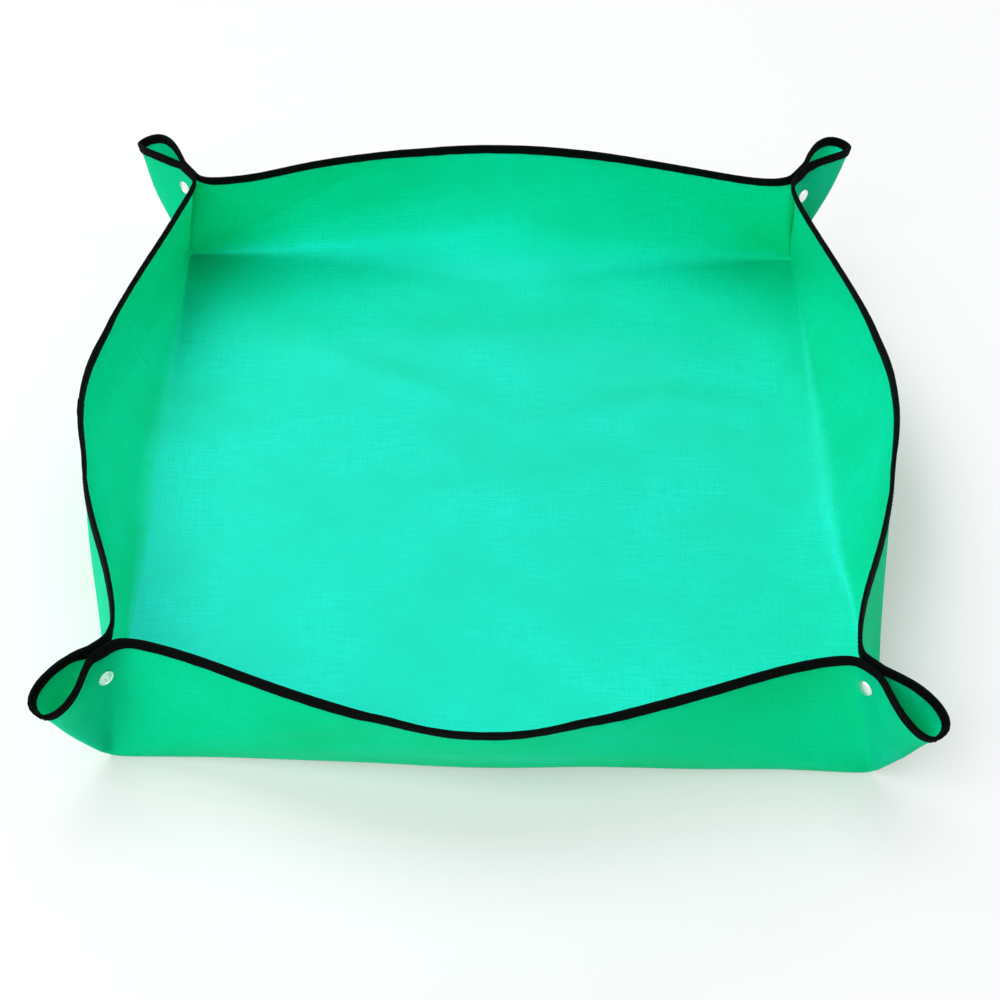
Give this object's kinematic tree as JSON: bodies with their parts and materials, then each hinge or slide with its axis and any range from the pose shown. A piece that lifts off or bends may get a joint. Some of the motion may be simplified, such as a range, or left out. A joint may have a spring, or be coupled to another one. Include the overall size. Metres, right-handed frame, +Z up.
{
  "type": "potting soil tray",
  "caption": "Square potting soil tray of waterproof coated cloth with a black taped edge, its corners pinched up by snap fasteners into teardrop ears.",
  "frame": {"origin": "middle of the base, on the surface that the tray stands on", "axes": "+Z up, front wall at -Y, right wall at +X"},
  "size_m": [0.5786, 0.5778, 0.0984],
  "materials": {
    "coated_cloth": "woven plastic cloth with a satin waterproof coating",
    "edge_tape": "matte woven tape",
    "snap_metal": "bright nickel plate",
    "spring_wire": "drawn wire"
  },
  "bodies": {
    "root": {"cloth_sheet": "coated_cloth", "edge_binding": "edge_tape", "cap_back_right": "snap_metal", "cap_front_right": "snap_metal", "cap_front_left": "snap_metal", "cap_back_left": "snap_metal", "socket_back_right": "snap_metal", "socket_front_right": "snap_metal", "socket_front_left": "snap_metal", "socket_back_left": "snap_metal", "spring_back_right": "spring_wire", "spring_front_right": "spring_wire", "spring_front_left": "spring_wire", "spring_back_left": "spring_wire", "stud_back_right": "snap_metal", "stud_front_right": "snap_metal", "stud_front_left": "snap_metal", "stud_back_left": "snap_metal", "eyelet_back_right": "snap_metal", "eyelet_front_right": "snap_metal", "eyelet_front_left": "snap_metal", "eyelet_back_left": "snap_metal"}
  },
  "joints": []
}
